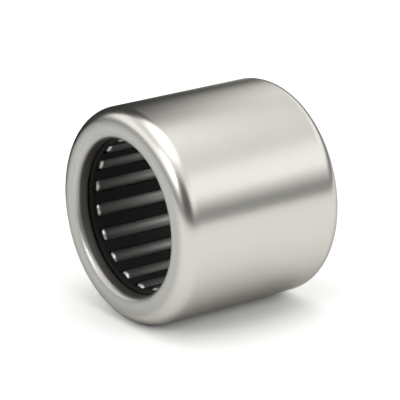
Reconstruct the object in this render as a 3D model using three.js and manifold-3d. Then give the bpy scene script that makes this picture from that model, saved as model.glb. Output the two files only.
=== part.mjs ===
// Drawn-cup needle roller bearing: a thin steel cup whose two ends are turned in as lips, a slotted cage
// and the needle rollers that it keeps apart. There is no inner ring: the rollers run on the shaft itself.
// Millimetres. The bearing's axis lies along Y, the origin is its centre, and the stamped front is at -Y.
import * as THREE from "three";
import { mergeVertices } from "three/addons/utils/BufferGeometryUtils.js";
import Module from "manifold-3d";

// Bearing size: a 12 mm shaft in an 18 mm housing. The cup is 16 mm wide by name, and drawn cups are made
// up to 0.3 mm narrower than that.
const SHAFT_DIAMETER = 12;
const OUTSIDE_DIAMETER = 18;
const WIDTH = 15.8;

// Rollers: their circle just touches the shaft on the inside.
const ROLLER_COUNT = 19;
const ROLLER_DIAMETER = 1.5;
const ROLLER_LENGTH = 12.2;
const ROLLER_END_ROUNDING = 0.35;
const PITCH_RADIUS = (SHAFT_DIAMETER + ROLLER_DIAMETER) / 2;

// Cup: the raceway leaves the rollers a small running clearance, and the lips close in to the bore.
const RACEWAY_RADIUS = SHAFT_DIAMETER / 2 + ROLLER_DIAMETER + 0.04;
const RACEWAY_FILLET = 0.25;
const LIP_BORE_RADIUS = 6.5;
const LIP_THICKNESS = 1.3;
const LIP_EDGE_ROUNDING = 0.6;
const FRONT_CORNER_ROUNDING = 1.5;
const BACK_CORNER_ROUNDING = 1.4;

// Cage: two thin end rings joined by a bar between each pair of rollers. It reaches a little further in
// than the lips, and stays clear of the shaft.
const CAGE_INNER_RADIUS = 6.2;
const CAGE_OUTER_RADIUS = 7.25;
const CAGE_END_GAP = 0.08;
const CAGE_EDGE_CHAMFER = 0.1;
const POCKET_RADIUS = ROLLER_DIAMETER / 2 + 0.03;
const POCKET_LENGTH = ROLLER_LENGTH + 0.1;

// How far the cage and its rollers have turned about the axis.
const REST_TURN = THREE.MathUtils.degToRad(-3.3);

// Facets round each piece.
const CUP_SEGMENTS = 48;
const CAGE_SEGMENTS = 76;
const ROLLER_SEGMENTS = 16;
const CORNER_STEPS = 4;
const FILLET_STEPS = 3;
const ROLLER_END_STEPS = 2;
const POCKET_STEPS = 8;

const cupSteel = new THREE.MeshStandardMaterial({ color: 0xc3c1ba, roughness: 0.36, metalness: 0.9 });
const cageBlack = new THREE.MeshStandardMaterial({ color: 0x14130f, roughness: 0.5, metalness: 0.4 });
const rollerSteel = new THREE.MeshStandardMaterial({ color: 0x8f8f8c, roughness: 0.16, metalness: 1 });

const wasm = await Module();
wasm.setup();

function namedMesh(name, geometry, material) {
  const mesh = new THREE.Mesh(geometry, material);
  mesh.name = name;
  return mesh;
}

function solidFrom(geometry) {
  const bare = geometry.clone();
  bare.deleteAttribute("normal");
  bare.deleteAttribute("uv");
  const merged = mergeVertices(bare, 1e-4);
  return new wasm.Manifold(
    new wasm.Mesh({
      numProp: 3,
      vertProperties: new Float32Array(merged.attributes.position.array),
      triVerts: new Uint32Array(merged.index.array),
    }),
  );
}

function geometryFrom(solid) {
  const mesh = solid.getMesh();
  const geometry = new THREE.BufferGeometry();
  geometry.setAttribute("position", new THREE.BufferAttribute(mesh.vertProperties, mesh.numProp));
  geometry.setIndex(new THREE.BufferAttribute(mesh.triVerts, 1));
  geometry.computeVertexNormals();
  return geometry;
}

// Points along an arc of a profile, from one angle to another in quarter turns.
function arc(centreX, centreY, radius, fromQuarter, toQuarter, steps) {
  const points = [];
  for (let i = 0; i <= steps; i++) {
    const angle = (fromQuarter + ((toQuarter - fromQuarter) * i) / steps) * (Math.PI / 2);
    points.push(new THREE.Vector2(centreX + radius * Math.cos(angle), centreY + radius * Math.sin(angle)));
  }
  return points;
}

// The cup's wall in section: x is the radius, y runs along the axis. The loop goes up the outside, in over
// the back lip, down the raceway and out over the front lip.
function outerCup() {
  const outside = OUTSIDE_DIAMETER / 2;
  const end = WIDTH / 2;
  const lipInside = end - LIP_THICKNESS;
  const fillet = RACEWAY_RADIUS - RACEWAY_FILLET;
  const edge = LIP_BORE_RADIUS + LIP_EDGE_ROUNDING;
  const front = FRONT_CORNER_ROUNDING;
  const back = BACK_CORNER_ROUNDING;
  const profile = [
    ...arc(outside - front, front - end, front, -1, 0, CORNER_STEPS),
    ...arc(outside - back, end - back, back, 0, 1, CORNER_STEPS),
    ...arc(edge, end - LIP_EDGE_ROUNDING, LIP_EDGE_ROUNDING, 1, 2, FILLET_STEPS),
    new THREE.Vector2(LIP_BORE_RADIUS, lipInside),
    ...arc(fillet, lipInside - RACEWAY_FILLET, RACEWAY_FILLET, 1, 0, FILLET_STEPS),
    ...arc(fillet, RACEWAY_FILLET - lipInside, RACEWAY_FILLET, 0, -1, FILLET_STEPS),
    new THREE.Vector2(LIP_BORE_RADIUS, -lipInside),
    ...arc(edge, LIP_EDGE_ROUNDING - end, LIP_EDGE_ROUNDING, 2, 3, FILLET_STEPS),
  ];
  profile.push(profile[0].clone());
  // Half a facet of turn lays a flat, not a corner, along the lowest line.
  const geometry = new THREE.LatheGeometry(profile, CUP_SEGMENTS, Math.PI / CUP_SEGMENTS);
  return namedMesh("outer_cup", geometry, cupSteel);
}

// One pocket to cut away, U-shaped in section: round towards the shaft, so that the bars hold the roller
// in, and straight outwards, where the cup holds it.
function pocketCutter(angle) {
  const outline = new THREE.Shape();
  outline.moveTo(OUTSIDE_DIAMETER / 2, -POCKET_RADIUS);
  outline.lineTo(OUTSIDE_DIAMETER / 2, POCKET_RADIUS);
  outline.lineTo(PITCH_RADIUS, POCKET_RADIUS);
  outline.absarc(PITCH_RADIUS, 0, POCKET_RADIUS, Math.PI / 2, (3 * Math.PI) / 2, false);
  const geometry = new THREE.ExtrudeGeometry(outline, {
    depth: POCKET_LENGTH,
    bevelEnabled: false,
    curveSegments: POCKET_STEPS,
  });
  geometry.translate(0, 0, -POCKET_LENGTH / 2);
  geometry.rotateX(Math.PI / 2);
  geometry.rotateY(angle);
  return solidFrom(geometry);
}

function cage() {
  const end = WIDTH / 2 - LIP_THICKNESS - CAGE_END_GAP;
  const chamfer = CAGE_EDGE_CHAMFER;
  const profile = [
    new THREE.Vector2(CAGE_OUTER_RADIUS - chamfer, -end),
    new THREE.Vector2(CAGE_OUTER_RADIUS, chamfer - end),
    new THREE.Vector2(CAGE_OUTER_RADIUS, end - chamfer),
    new THREE.Vector2(CAGE_OUTER_RADIUS - chamfer, end),
    new THREE.Vector2(CAGE_INNER_RADIUS + chamfer, end),
    new THREE.Vector2(CAGE_INNER_RADIUS, end - chamfer),
    new THREE.Vector2(CAGE_INNER_RADIUS, chamfer - end),
    new THREE.Vector2(CAGE_INNER_RADIUS + chamfer, -end),
  ];
  profile.push(profile[0].clone());
  let solid = solidFrom(new THREE.LatheGeometry(profile, CAGE_SEGMENTS));
  for (let i = 0; i < ROLLER_COUNT; i++) {
    solid = solid.subtract(pocketCutter((2 * Math.PI * i) / ROLLER_COUNT));
  }
  return namedMesh("cage", geometryFrom(solid), cageBlack);
}

function needleRoller(index) {
  const radius = ROLLER_DIAMETER / 2;
  const end = ROLLER_LENGTH / 2;
  const rounding = ROLLER_END_ROUNDING;
  const profile = [
    new THREE.Vector2(0, -end),
    ...arc(radius - rounding, rounding - end, rounding, -1, 0, ROLLER_END_STEPS),
    ...arc(radius - rounding, end - rounding, rounding, 0, 1, ROLLER_END_STEPS),
    new THREE.Vector2(0, end),
  ];
  const number = String(index + 1).padStart(2, "0");
  const geometry = new THREE.LatheGeometry(profile, ROLLER_SEGMENTS);
  const roller = namedMesh("needle_roller_" + number, geometry, rollerSteel);
  const angle = (2 * Math.PI * index) / ROLLER_COUNT;
  roller.position.set(PITCH_RADIUS * Math.cos(angle), 0, -PITCH_RADIUS * Math.sin(angle));
  roller.rotation.y = angle;
  return roller;
}

// What turns inside the cup: the cage and the rollers in its pockets.
function rollingSet() {
  const group = new THREE.Group();
  group.add(cage());
  for (let i = 0; i < ROLLER_COUNT; i++) {
    group.add(needleRoller(i));
  }
  group.rotation.y = REST_TURN;
  return group;
}

const bearing = new THREE.Group();
bearing.add(outerCup(), rollingSet());

export default bearing;
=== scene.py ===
"""A drawn-cup needle roller bearing, lying on its side on a pale studio floor.

The axis lies along Y, and the front that the photograph shows is at -Y. Lengths are in metres. Overall sizes
and places come from the CAD frame's boxes, other sizes repeat the CAD's own, and the finest edges are added.
"""

import math

import bmesh
import bpy
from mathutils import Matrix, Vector


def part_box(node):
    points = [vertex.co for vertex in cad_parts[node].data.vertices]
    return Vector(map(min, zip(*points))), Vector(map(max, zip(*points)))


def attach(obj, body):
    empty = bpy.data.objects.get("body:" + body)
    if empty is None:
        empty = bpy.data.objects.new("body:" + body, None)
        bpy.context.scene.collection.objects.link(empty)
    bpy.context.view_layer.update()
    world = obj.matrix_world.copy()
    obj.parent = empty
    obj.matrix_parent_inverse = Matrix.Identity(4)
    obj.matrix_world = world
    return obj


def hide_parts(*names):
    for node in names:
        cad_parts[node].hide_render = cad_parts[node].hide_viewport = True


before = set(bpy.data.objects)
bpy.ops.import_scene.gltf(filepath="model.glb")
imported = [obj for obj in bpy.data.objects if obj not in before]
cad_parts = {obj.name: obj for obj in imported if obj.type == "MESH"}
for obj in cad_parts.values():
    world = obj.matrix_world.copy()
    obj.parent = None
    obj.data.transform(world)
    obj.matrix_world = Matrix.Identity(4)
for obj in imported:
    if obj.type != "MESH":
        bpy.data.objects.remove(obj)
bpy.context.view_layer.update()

MM = 0.001

# The cup.
CUP_LOW, CUP_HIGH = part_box("outer_cup")
OUTSIDE_RADIUS = CUP_HIGH.z
HALF_WIDTH = CUP_HIGH.y
FRONT_CORNER = 1.5 * MM
BACK_CORNER = 1.4 * MM
LIP_BORE_RADIUS = 6.5 * MM
LIP_THICKNESS = 1.3 * MM
LIP_EDGE_ROUNDING = 0.6 * MM
LIP_INNER_EDGE = 0.12 * MM
RACEWAY_RADIUS = 7.54 * MM
RACEWAY_FILLET = 0.25 * MM

# The rollers.
ROLLERS = sorted(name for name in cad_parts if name.startswith("needle_roller"))
ROLLER_LOW, ROLLER_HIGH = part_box(ROLLERS[0])
ROLLER_HALF_LENGTH = ROLLER_HIGH.y
ROLLER_CENTRE = (ROLLER_LOW + ROLLER_HIGH) / 2
PITCH_RADIUS = math.hypot(ROLLER_CENTRE.x, ROLLER_CENTRE.z)
FIRST_ROLLER_ANGLE = math.atan2(ROLLER_CENTRE.z, ROLLER_CENTRE.x)
ROLLER_RADIUS = 0.75 * MM
ROLLER_END_ROUNDING = 0.35 * MM
ROLLER_END_CROWN = 0.05 * MM

# The cage: end rings joined by bars, with a U-shaped pocket round each roller.
CAGE_HALF_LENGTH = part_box("cage")[1].y
CAGE_INNER_RADIUS = 6.2 * MM
CAGE_OUTER_RADIUS = 7.25 * MM
POCKET_RADIUS = ROLLER_RADIUS + 0.03 * MM
POCKET_HALF_LENGTH = ROLLER_HALF_LENGTH + 0.05 * MM
CAGE_EDGE_BEVEL = 0.05 * MM
CAGE_BEVEL_SEGMENTS = 2
CAGE_BEVEL_ANGLE = math.radians(35)

# Fineness of the round surfaces.
CUP_SEGMENTS = 256
ROLLER_SEGMENTS = 48
CORNER_STEPS = 16
FILLET_STEPS = 8
CROWN_STEPS = 3
POCKET_STEPS = 8
POCKET_ARC_STEPS = 6
BAR_ARC_STEPS = 3
SHARP_ANGLE = math.radians(32)

# Where the cup's finish and its painted shade change, as the start and end of each change by distance from
# the axis.
BORE_SHADE_TO_LIP = (LIP_BORE_RADIUS + 0.03 * MM, LIP_BORE_RADIUS + 0.22 * MM)
LIP_TO_OUTSIDE = (OUTSIDE_RADIUS - 0.85 * FRONT_CORNER, OUTSIDE_RADIUS - 0.45 * FRONT_CORNER)

# The burnished ring on each lip, and the start and end of its fading on both sides of that radius.
CREST_RADIUS = 7.3 * MM
CREST_FADE = (0.05 * MM, 0.16 * MM)

# Colours. A pair is the darkest and the lightest tone of a surface.
GROUND_STEEL = ((0.495, 0.483, 0.452), (0.53, 0.518, 0.487))
LIP_STEEL = ((0.37, 0.365, 0.35), (0.43, 0.425, 0.41))
# Painted shade: the bore of each lip is coloured darker than its steel, for the shade inside the opening.
BORE_PAINTED_SHADE = (0.30, 0.29, 0.27)
CAGE_BLACK = ((0.003, 0.003, 0.003), (0.008, 0.008, 0.007))
# Painted shade: the rollers are coloured darker than bare steel, for the shade inside the bearing.
ROLLER_STEEL_AND_SHADE = ((0.30, 0.30, 0.29), (0.35, 0.35, 0.34))
FLOOR_WHITE = ((0.72, 0.72, 0.715), (0.74, 0.74, 0.735))
FLAG_BLACK = (0.01, 0.01, 0.01, 1)
CUP_SPECULAR_TINT = (0.5, 0.49, 0.47, 1)
CAGE_SPECULAR = 0.2
FLOOR_SPECULAR = 0.1

# Roughness. A pair is the lowest and the highest of a surface.
GROUND_ROUGHNESS = (0.225, 0.245)
LIP_ROUGHNESS = (0.36, 0.46)
CREST_ROUGHNESS = (0.27, 0.33)
CAGE_ROUGHNESS = (0.5, 0.65)
ROLLER_ROUGHNESS = (0.33, 0.39)
FLOOR_ROUGHNESS = 0.7
FLAG_ROUGHNESS = 0.9

# Noise features to the metre along x, y and z. The lines run round the axis, so they are close along Y.
GRINDING_LINES = (150, 14000, 150)
LAPPING_LINES = (300, 20000, 300)
CUP_CLOUDS = (260, 260, 260)
CAGE_CLOUDS = (700, 700, 700)
ROLLER_CLOUDS = (500, 200, 500)
FLOOR_CLOUDS = (40, 40, 40)
FINE_GRAIN = (9000, 9000, 9000)
NOISE_ROUGHNESS = 0.6
NOISE_LOW = 0.3
NOISE_HIGH = 0.7

# Strength and height of the bumps.
PIT_BUMP = (0.12, 0.002 * MM)
LINE_BUMP = (0.03, 0.001 * MM)
CAGE_BUMP = (0.3, 0.005 * MM)

# The camera, at the viewing angle that was fitted to the photograph.
CAMERA_AZIMUTH = math.radians(53.5)
CAMERA_ELEVATION = math.radians(19.0)
CAMERA_DISTANCE = 25 * OUTSIDE_RADIUS
RADIUS_IN_FRAME = 0.275
SENSOR_WIDTH = 36.0
CLIP_START = 0.01
CLIP_END = 10

# The dome's brightness by the height of the direction looked in, from 0 at the horizon to 1 overhead.
DOME_STOPS = (
    (0.0, 0.25),
    (0.14, 0.25),
    (0.26, 0.8),
    (0.38, 1.55),
    (0.58, 1.45),
    (0.72, 1.0),
    (0.84, 1.15),
    (0.93, 2.2),
    (1.0, 2.4),
)
DOME_STRENGTH = 1.14
DOME_BLUE = 0.99
BACKDROP_WHITE = (1, 1, 1, 1)

# The dim patch of the dome in front of the bearing, by angle from its middle.
DIM_PATCH_CORE = math.radians(14)
DIM_PATCH_EDGE = math.radians(34)
DIM_PATCH_COLOUR = (0.12, 0.115, 0.11)

# The floor and the black card, in outside radii. Left and right are the ends of the card's foot, as (x, y).
FLOOR_REACH = 60
FLAG_LEFT = (-4.2, -1.8)
FLAG_RIGHT = (-0.85, 2.73)
FLAG_HEIGHT = 7.4
FLAG_FADE = 2.9

# The lamps.
LAMP_DISTANCE = 0.6
KEY_AZIMUTH = math.radians(14)
KEY_ELEVATION = math.radians(36)
KEY_SIZE = 0.2
KEY_RADIANCE = 6.8
FILL_AZIMUTH = math.radians(98)
FILL_ELEVATION = math.radians(30)
FILL_SIZE = 0.3
FILL_RADIANCE = 5.0


def arc(centre_x, centre_y, radius, start, end, steps):
    """Points along an arc of a section, with the angles in degrees."""
    points = []
    for i in range(steps + 1):
        angle = math.radians(start + (end - start) * i / steps)
        points.append((centre_x + radius * math.cos(angle), centre_y + radius * math.sin(angle)))
    return points


def add_object(name, data):
    made = bpy.data.objects.new(name, data)
    bpy.context.scene.collection.objects.link(made)
    return made


def new_object(name, vertices, faces, material):
    """A smooth mesh, with its edges kept sharp where they turn by more than the sharp angle."""
    mesh = bpy.data.meshes.new(name)
    mesh.from_pydata(vertices, [], faces)
    mesh.shade_smooth()
    mesh.set_sharp_from_angle(angle=SHARP_ANGLE)
    mesh.materials.append(material)
    return add_object(name, mesh)


def lathe_ring(section, segments):
    """A closed section of (radius, y) points turned about the Y axis."""
    count = len(section)
    vertices = []
    for i in range(segments):
        angle = 2 * math.pi * i / segments
        vertices += [(r * math.cos(angle), y, r * math.sin(angle)) for r, y in section]
    faces = []
    for i in range(segments):
        here = i * count
        there = (i + 1) % segments * count
        for j in range(count):
            k = (j + 1) % count
            faces.append((here + j, here + k, there + k, there + j))
    return vertices, faces


def lathe_rod(section, segments, centre):
    """An open section of (radius, y) points, from pole to pole, turned about a line along Y at centre."""
    inner = section[1:-1]
    count = len(inner)
    vertices = [(centre.x, section[0][1], centre.z), (centre.x, section[-1][1], centre.z)]
    for i in range(segments):
        angle = 2 * math.pi * i / segments
        across = math.cos(angle)
        up = math.sin(angle)
        vertices += [(centre.x + r * across, y, centre.z + r * up) for r, y in inner]
    faces = []
    for i in range(segments):
        here = 2 + i * count
        there = 2 + (i + 1) % segments * count
        faces.append((0, here, there))
        faces.append((1, there + count - 1, here + count - 1))
        for j in range(count - 1):
            faces.append((here + j, here + j + 1, there + j + 1, there + j))
    return vertices, faces


def node(tree, kind, **settings):
    made = tree.nodes.new(kind)
    for key, value in settings.items():
        setattr(made, key, value)
    return made


def noise(tree, coordinates, scale, detail):
    """A noise texture's grey value."""
    mapping = node(tree, "ShaderNodeMapping")
    mapping.inputs["Scale"].default_value = scale
    tree.links.new(coordinates, mapping.inputs["Vector"])
    texture = node(tree, "ShaderNodeTexNoise")
    texture.inputs["Scale"].default_value = 1.0
    texture.inputs["Detail"].default_value = detail
    texture.inputs["Roughness"].default_value = NOISE_ROUGHNESS
    tree.links.new(mapping.outputs["Vector"], texture.inputs["Vector"])
    return texture.outputs["Fac"]


def remap(tree, value, low, high, to_low, to_high):
    """A smooth step: to_low where the value is low or less, and to_high where it is high or more."""
    ramp = node(tree, "ShaderNodeMapRange", interpolation_type="SMOOTHSTEP")
    ramp.inputs["From Min"].default_value = low
    ramp.inputs["From Max"].default_value = high
    ramp.inputs["To Min"].default_value = to_low
    ramp.inputs["To Max"].default_value = to_high
    tree.links.new(value, ramp.inputs["Value"])
    return ramp.outputs["Result"]


def spread(tree, grey, lowest, highest):
    """A noise's grey value, spread from lowest to highest."""
    return remap(tree, grey, NOISE_LOW, NOISE_HIGH, lowest, highest)


def blend_values(tree, factor, first, second):
    mix = node(tree, "ShaderNodeMix", data_type="FLOAT")
    tree.links.new(factor, mix.inputs["Factor"])
    tree.links.new(first, mix.inputs["A"])
    tree.links.new(second, mix.inputs["B"])
    return mix.outputs["Result"]


def blend_colours(tree, factor, first, second):
    """A mix of two colours, each a tuple or another node's output."""
    mix = node(tree, "ShaderNodeMix", data_type="RGBA")
    tree.links.new(factor, mix.inputs["Factor"])
    for socket, value in ((mix.inputs["A"], first), (mix.inputs["B"], second)):
        if isinstance(value, tuple):
            socket.default_value = value + (1,)
        else:
            tree.links.new(value, socket)
    return mix.outputs["Result"]


def bump(tree, height, strength, distance, normal=None):
    made = node(tree, "ShaderNodeBump")
    made.inputs["Strength"].default_value = strength
    made.inputs["Distance"].default_value = distance
    tree.links.new(height, made.inputs["Height"])
    if normal is not None:
        tree.links.new(normal, made.inputs["Normal"])
    return made.outputs["Normal"]


def fade_out(tree, shader, factor):
    """Shows the shader where the factor is 0 and nothing where it is 1."""
    clear = node(tree, "ShaderNodeBsdfTransparent")
    mix = node(tree, "ShaderNodeMixShader")
    tree.links.new(factor, mix.inputs["Fac"])
    tree.links.new(shader.outputs["BSDF"], mix.inputs[1])
    tree.links.new(clear.outputs["BSDF"], mix.inputs[2])
    tree.links.new(mix.outputs["Shader"], tree.nodes["Material Output"].inputs["Surface"])


def new_material(name):
    material = bpy.data.materials.new(name)
    material.use_nodes = True
    tree = material.node_tree
    shader = tree.nodes["Principled BSDF"]
    coordinates = node(tree, "ShaderNodeTexCoord").outputs["Object"]
    return material, tree, shader, coordinates


def distance_from_axis(tree, coordinates):
    flat = node(tree, "ShaderNodeVectorMath", operation="MULTIPLY")
    flat.inputs[1].default_value = (1, 0, 1)
    tree.links.new(coordinates, flat.inputs[0])
    length = node(tree, "ShaderNodeVectorMath", operation="LENGTH")
    tree.links.new(flat.outputs["Vector"], length.inputs[0])
    return length.outputs["Value"]


def distance_from_crest(tree, radius):
    crest = node(tree, "ShaderNodeMath", operation="SUBTRACT")
    crest.inputs[1].default_value = CREST_RADIUS
    tree.links.new(radius, crest.inputs[0])
    size = node(tree, "ShaderNodeMath", operation="ABSOLUTE")
    tree.links.new(crest.outputs["Value"], size.inputs[0])
    return size.outputs["Value"]


def cup_steel():
    """Satin bearing steel: finely ground outside and matte on the lips, with painted shade darkening the
    bore of each lip.
    """
    material, tree, shader, coordinates = new_material("cup_steel")
    radius = distance_from_axis(tree, coordinates)
    outside = remap(tree, radius, *LIP_TO_OUTSIDE, 0, 1)
    beyond_bore = remap(tree, radius, *BORE_SHADE_TO_LIP, 0, 1)
    lines = noise(tree, coordinates, GRINDING_LINES, detail=3)
    clouds = noise(tree, coordinates, CUP_CLOUDS, detail=5)
    pits = noise(tree, coordinates, FINE_GRAIN, detail=2)
    ground = blend_colours(tree, clouds, *GROUND_STEEL)
    lip = blend_colours(tree, clouds, *LIP_STEEL)
    steel = blend_colours(tree, outside, lip, ground)
    # Painted shade: the lip bores take the darker colour.
    colour = blend_colours(tree, beyond_bore, BORE_PAINTED_SHADE, steel)
    tree.links.new(colour, shader.inputs["Base Color"])
    smooth = spread(tree, lines, *GROUND_ROUGHNESS)
    rubbed = remap(tree, distance_from_crest(tree, radius), *CREST_FADE, 1, 0)
    rough = spread(tree, pits, *LIP_ROUGHNESS)
    burnished = spread(tree, pits, *CREST_ROUGHNESS)
    matte = blend_values(tree, rubbed, rough, burnished)
    tree.links.new(blend_values(tree, outside, matte, smooth), shader.inputs["Roughness"])
    fine = bump(tree, pits, *PIT_BUMP)
    tree.links.new(bump(tree, lines, *LINE_BUMP, fine), shader.inputs["Normal"])
    shader.inputs["Metallic"].default_value = 1.0
    shader.inputs["Specular Tint"].default_value = CUP_SPECULAR_TINT
    return material


def cage_black():
    """Black-oxidised steel, dull all over."""
    material, tree, shader, coordinates = new_material("cage_black")
    clouds = noise(tree, coordinates, CAGE_CLOUDS, detail=4)
    grain = noise(tree, coordinates, FINE_GRAIN, detail=2)
    tree.links.new(blend_colours(tree, clouds, *CAGE_BLACK), shader.inputs["Base Color"])
    tree.links.new(spread(tree, grain, *CAGE_ROUGHNESS), shader.inputs["Roughness"])
    shader.inputs["Specular IOR Level"].default_value = CAGE_SPECULAR
    tree.links.new(bump(tree, grain, *CAGE_BUMP), shader.inputs["Normal"])
    return material


def roller_steel():
    """Lapped bearing steel, finely lined round each roller, coloured darker with painted shade for the
    inside of the bearing.
    """
    material, tree, shader, coordinates = new_material("roller_steel")
    lines = noise(tree, coordinates, LAPPING_LINES, detail=2)
    clouds = noise(tree, coordinates, ROLLER_CLOUDS, detail=3)
    tree.links.new(blend_colours(tree, clouds, *ROLLER_STEEL_AND_SHADE), shader.inputs["Base Color"])
    tree.links.new(spread(tree, lines, *ROLLER_ROUGHNESS), shader.inputs["Roughness"])
    tree.links.new(bump(tree, lines, *LINE_BUMP), shader.inputs["Normal"])
    shader.inputs["Metallic"].default_value = 1.0
    return material


def outer_cup(material):
    """The cup's section runs up the outside, over the back lip, down the raceway and over the front lip."""
    inside = HALF_WIDTH - LIP_THICKNESS
    fillet = RACEWAY_RADIUS - RACEWAY_FILLET
    edge = LIP_BORE_RADIUS + LIP_EDGE_ROUNDING
    rim = LIP_BORE_RADIUS + LIP_INNER_EDGE
    front = FRONT_CORNER
    back = BACK_CORNER
    section = [
        *arc(OUTSIDE_RADIUS - front, front - HALF_WIDTH, front, -90, 0, CORNER_STEPS),
        *arc(OUTSIDE_RADIUS - back, HALF_WIDTH - back, back, 0, 90, CORNER_STEPS),
        *arc(edge, HALF_WIDTH - LIP_EDGE_ROUNDING, LIP_EDGE_ROUNDING, 90, 180, FILLET_STEPS),
        *arc(rim, inside + LIP_INNER_EDGE, LIP_INNER_EDGE, 180, 270, FILLET_STEPS),
        *arc(fillet, inside - RACEWAY_FILLET, RACEWAY_FILLET, 90, 0, FILLET_STEPS),
        *arc(fillet, RACEWAY_FILLET - inside, RACEWAY_FILLET, 0, -90, FILLET_STEPS),
        *arc(rim, -inside - LIP_INNER_EDGE, LIP_INNER_EDGE, 90, 180, FILLET_STEPS),
        *arc(edge, LIP_EDGE_ROUNDING - HALF_WIDTH, LIP_EDGE_ROUNDING, 180, 270, FILLET_STEPS),
    ]
    return new_object("cup_shell", *lathe_ring(section, CUP_SEGMENTS), material)


def needle_roller(name, material):
    """A roller with rounded ends that are slightly crowned."""
    low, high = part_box(name)
    centre = (low + high) / 2
    end = ROLLER_HALF_LENGTH
    shoulder = end - ROLLER_END_CROWN
    corner = ROLLER_RADIUS - ROLLER_END_ROUNDING
    half = [(0, end)]
    for i in range(1, CROWN_STEPS):
        half.append((corner * i / CROWN_STEPS, end - ROLLER_END_CROWN * (i / CROWN_STEPS) ** 2))
    half += arc(corner, shoulder - ROLLER_END_ROUNDING, ROLLER_END_ROUNDING, 90, 0, FILLET_STEPS)
    section = half + [(r, -y) for r, y in reversed(half)]
    vertices, faces = lathe_rod(section, ROLLER_SEGMENTS, centre)
    return new_object(name.replace("needle_roller", "needle"), vertices, faces, material)


def pocket_side():
    """One side of a pocket, from the outside in, as (distance from the axis, offset) along its middle."""
    mouth = math.sqrt(CAGE_OUTER_RADIUS**2 - POCKET_RADIUS**2)
    side = [(mouth, POCKET_RADIUS), (PITCH_RADIUS, POCKET_RADIUS)]
    reach = PITCH_RADIUS**2 + POCKET_RADIUS**2 - CAGE_INNER_RADIUS**2
    sweep = math.asin(reach / (2 * PITCH_RADIUS * POCKET_RADIUS))
    for k in range(1, POCKET_STEPS + 1):
        angle = sweep * k / POCKET_STEPS
        side.append((PITCH_RADIUS - POCKET_RADIUS * math.sin(angle), POCKET_RADIUS * math.cos(angle)))
    return side


def cage_body(material):
    """A ring with a pocket for each roller, built on four layers across the axis."""
    mesh = bmesh.new()
    side = pocket_side()
    step = 2 * math.pi / len(ROLLERS)
    layers = (-CAGE_HALF_LENGTH, -POCKET_HALF_LENGTH, POCKET_HALF_LENGTH, CAGE_HALF_LENGTH)
    end_faces = (0, 3)
    pocket_ends = (1, 2)
    # A wall is named after the layer that it rises from. Wall 1 is missing across each pocket.
    bar_walls = (0, 1, 2)
    pocket_walls = (0, 2)

    def loop(radius, half_angle, y):
        """Points right round: an arc across each pocket, then an arc across the bar beside it."""
        points = []
        for i in range(len(ROLLERS)):
            centre = FIRST_ROLLER_ANGLE + i * step
            across_pocket = [half_angle * (2 * k / POCKET_ARC_STEPS - 1) for k in range(POCKET_ARC_STEPS)]
            bar = step - 2 * half_angle
            across_bar = [half_angle + bar * k / BAR_ARC_STEPS for k in range(BAR_ARC_STEPS)]
            for offset in across_pocket + across_bar:
                angle = centre + offset
                points.append(mesh.verts.new((radius * math.cos(angle), y, radius * math.sin(angle))))
        return points

    outer_half = math.atan2(side[0][1], side[0][0])
    inner_half = math.atan2(side[-1][1], side[-1][0])
    outer = [loop(CAGE_OUTER_RADIUS, outer_half, y) for y in layers]
    inner = [loop(CAGE_INNER_RADIUS, inner_half, y) for y in layers]
    count = len(outer[0])
    sector = POCKET_ARC_STEPS + BAR_ARC_STEPS

    for j in range(count):
        k = (j + 1) % count
        for layer in end_faces:
            mesh.faces.new((outer[layer][j], outer[layer][k], inner[layer][k], inner[layer][j]))
        on_bar = j % sector >= POCKET_ARC_STEPS
        for low in bar_walls if on_bar else pocket_walls:
            for loops in (outer, inner):
                mesh.faces.new((loops[low][j], loops[low][k], loops[low + 1][k], loops[low + 1][j]))

    def side_points(layer, i, sign):
        """The points down one side of a pocket's end, from the outer surface to the inner one."""
        centre = FIRST_ROLLER_ANGLE + i * step
        along = Vector((math.cos(centre), 0, math.sin(centre)))
        across = Vector((-math.sin(centre), 0, math.cos(centre)))
        level = Vector((0, layers[layer], 0))
        inside = [mesh.verts.new(along * x + across * sign * t + level) for x, t in side[1:-1]]
        j = i * sector + (POCKET_ARC_STEPS if sign > 0 else 0)
        return [outer[layer][j], *inside, inner[layer][j]]

    for i in range(len(ROLLERS)):
        first = i * sector
        sides = {(layer, sign): side_points(layer, i, sign) for layer in pocket_ends for sign in (-1, 1)}
        for layer in pocket_ends:
            outer_arc = outer[layer][first + 1:first + POCKET_ARC_STEPS]
            inner_arc = inner[layer][first + 1:first + POCKET_ARC_STEPS]
            down = sides[layer, 1]
            up = sides[layer, -1][::-1]
            mesh.faces.new(outer_arc + down + inner_arc[::-1] + up)
        for sign in (-1, 1):
            low, high = [sides[layer, sign] for layer in pocket_ends]
            for m in range(len(low) - 1):
                mesh.faces.new((low[m], low[m + 1], high[m + 1], high[m]))

    bmesh.ops.recalc_face_normals(mesh, faces=mesh.faces)
    data = bpy.data.meshes.new("cage_body")
    mesh.to_mesh(data)
    mesh.free()
    data.shade_smooth()
    data.materials.append(material)
    piece = add_object("cage_body", data)
    rounded = piece.modifiers.new("rounded_edges", "BEVEL")
    rounded.width = CAGE_EDGE_BEVEL
    rounded.segments = CAGE_BEVEL_SEGMENTS
    rounded.limit_method = "ANGLE"
    rounded.angle_limit = CAGE_BEVEL_ANGLE
    rounded.harden_normals = True
    return piece


bearing_cup = outer_cup(cup_steel())
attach(bearing_cup, "outer_cup")
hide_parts("outer_cup")

polished = roller_steel()
for roller in ROLLERS:
    needle = needle_roller(roller, polished)
    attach(needle, roller)
    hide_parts(roller)

bearing_cage = cage_body(cage_black())
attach(bearing_cage, "cage")
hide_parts("cage")


def direction_to(azimuth, elevation):
    """The direction from the bearing. Azimuth 0 is in front of the open face, at -Y."""
    return Vector((
        math.sin(azimuth) * math.cos(elevation),
        -math.cos(azimuth) * math.cos(elevation),
        math.sin(elevation),
    ))


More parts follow.
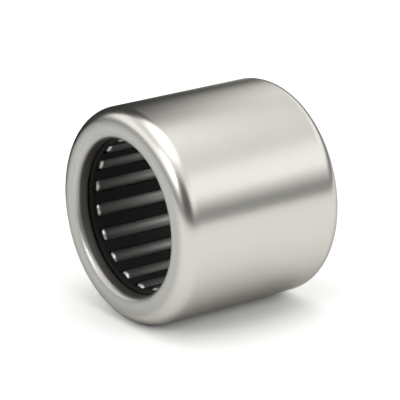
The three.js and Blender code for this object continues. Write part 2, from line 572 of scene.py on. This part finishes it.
def aim_from(holder, azimuth, elevation, distance):
    """Places a lamp or a camera, looking back at the bearing."""
    back = direction_to(azimuth, elevation)
    holder.location = back * distance
    holder.rotation_euler = back.to_track_quat("Z", "Y").to_euler()


def pale_floor():
    """A pale sheet that is seen only from above, so that views from below look through it."""
    size = FLOOR_REACH * OUTSIDE_RADIUS
    height = CUP_LOW.z
    corners = [(-size, -size, height), (size, -size, height), (size, size, height), (-size, size, height)]
    material, tree, shader, coordinates = new_material("floor_white")
    mottle = noise(tree, coordinates, FLOOR_CLOUDS, detail=3)
    tree.links.new(blend_colours(tree, mottle, *FLOOR_WHITE), shader.inputs["Base Color"])
    shader.inputs["Roughness"].default_value = FLOOR_ROUGHNESS
    shader.inputs["Specular IOR Level"].default_value = FLOOR_SPECULAR
    fade_out(tree, shader, node(tree, "ShaderNodeNewGeometry").outputs["Backfacing"])
    new_object("floor", corners, [(0, 1, 2, 3)], material)


def dark_flag():
    """A black card behind the bearing, faded out towards its right edge. It shows only in reflections."""
    foot = CUP_LOW.z
    top = foot + FLAG_HEIGHT * OUTSIDE_RADIUS
    left = Vector(FLAG_LEFT) * OUTSIDE_RADIUS
    right = Vector(FLAG_RIGHT) * OUTSIDE_RADIUS
    corners = [
        (left.x, left.y, foot),
        (right.x, right.y, foot),
        (right.x, right.y, top),
        (left.x, left.y, top),
    ]
    material, tree, shader, coordinates = new_material("flag_black")
    shader.inputs["Base Color"].default_value = FLAG_BLACK
    shader.inputs["Roughness"].default_value = FLAG_ROUGHNESS
    across = (right - left).normalized()
    project = node(tree, "ShaderNodeVectorMath", operation="DOT_PRODUCT")
    project.inputs[1].default_value = (across.x, across.y, 0)
    tree.links.new(coordinates, project.inputs[0])
    edge = right.dot(across)
    fade_start = edge - FLAG_FADE * OUTSIDE_RADIUS
    fade_out(tree, shader, remap(tree, project.outputs["Value"], fade_start, edge, 0, 1))
    card = new_object("flag", corners, [(0, 1, 2, 3)], material)
    card.visible_camera = False
    card.visible_diffuse = False
    card.visible_shadow = False


def studio_dome():
    """A soft white dome, lit in a band a third of the way up and overhead, with a dim patch in front.

    The camera sees plain white instead of it.
    """
    world = bpy.data.worlds.new("studio")
    world.use_nodes = True
    tree = world.node_tree
    background = tree.nodes["Background"]
    background.inputs["Strength"].default_value = DOME_STRENGTH
    direction = node(tree, "ShaderNodeTexCoord").outputs["Generated"]
    split = node(tree, "ShaderNodeSeparateXYZ")
    tree.links.new(direction, split.inputs["Vector"])
    ramp = node(tree, "ShaderNodeValToRGB")
    ramp.color_ramp.interpolation = "EASE"
    elements = ramp.color_ramp.elements
    while len(elements) < len(DOME_STOPS):
        elements.new(0.5)
    for element, (place, level) in zip(elements, DOME_STOPS):
        element.position = place
        element.color = (level, level, level * DOME_BLUE, 1)
    tree.links.new(split.outputs["Z"], ramp.inputs["Fac"])
    towards = node(tree, "ShaderNodeVectorMath", operation="DOT_PRODUCT")
    towards.inputs[1].default_value = direction_to(CAMERA_AZIMUTH, CAMERA_ELEVATION)
    tree.links.new(direction, towards.inputs[0])
    dim = remap(tree, towards.outputs["Value"], math.cos(DIM_PATCH_EDGE), math.cos(DIM_PATCH_CORE), 0, 1)
    light = blend_colours(tree, dim, ramp.outputs["Color"], DIM_PATCH_COLOUR)
    tree.links.new(light, background.inputs["Color"])
    backdrop = node(tree, "ShaderNodeBackground")
    backdrop.inputs["Color"].default_value = BACKDROP_WHITE
    mix = node(tree, "ShaderNodeMixShader")
    tree.links.new(node(tree, "ShaderNodeLightPath").outputs["Is Camera Ray"], mix.inputs["Fac"])
    tree.links.new(background.outputs["Background"], mix.inputs[1])
    tree.links.new(backdrop.outputs["Background"], mix.inputs[2])
    tree.links.new(mix.outputs["Shader"], tree.nodes["World Output"].inputs["Surface"])
    bpy.context.scene.world = world


def softbox(name, azimuth, elevation, size, radiance):
    """A square area light aimed at the bearing."""
    light = bpy.data.lights.new(name, "AREA")
    light.shape = "SQUARE"
    light.size = size
    light.energy = radiance * math.pi * size * size
    lamp = add_object(name, light)
    aim_from(lamp, azimuth, elevation, LAMP_DISTANCE)
    return lamp


def photo_camera():
    camera = bpy.data.cameras.new("camera")
    camera.sensor_width = SENSOR_WIDTH
    camera.lens = SENSOR_WIDTH * RADIUS_IN_FRAME * CAMERA_DISTANCE / OUTSIDE_RADIUS
    camera.clip_start = CLIP_START
    camera.clip_end = CLIP_END
    holder = add_object("camera", camera)
    aim_from(holder, CAMERA_AZIMUTH, CAMERA_ELEVATION, CAMERA_DISTANCE)
    bpy.context.scene.camera = holder


pale_floor()
studio_dome()
dark_flag()
softbox("key_light", KEY_AZIMUTH, KEY_ELEVATION, KEY_SIZE, KEY_RADIANCE)
fill = softbox("fill_light", FILL_AZIMUTH, FILL_ELEVATION, FILL_SIZE, FILL_RADIANCE)
fill.visible_glossy = False
photo_camera()
bpy.context.scene.view_settings.view_transform = "Standard"
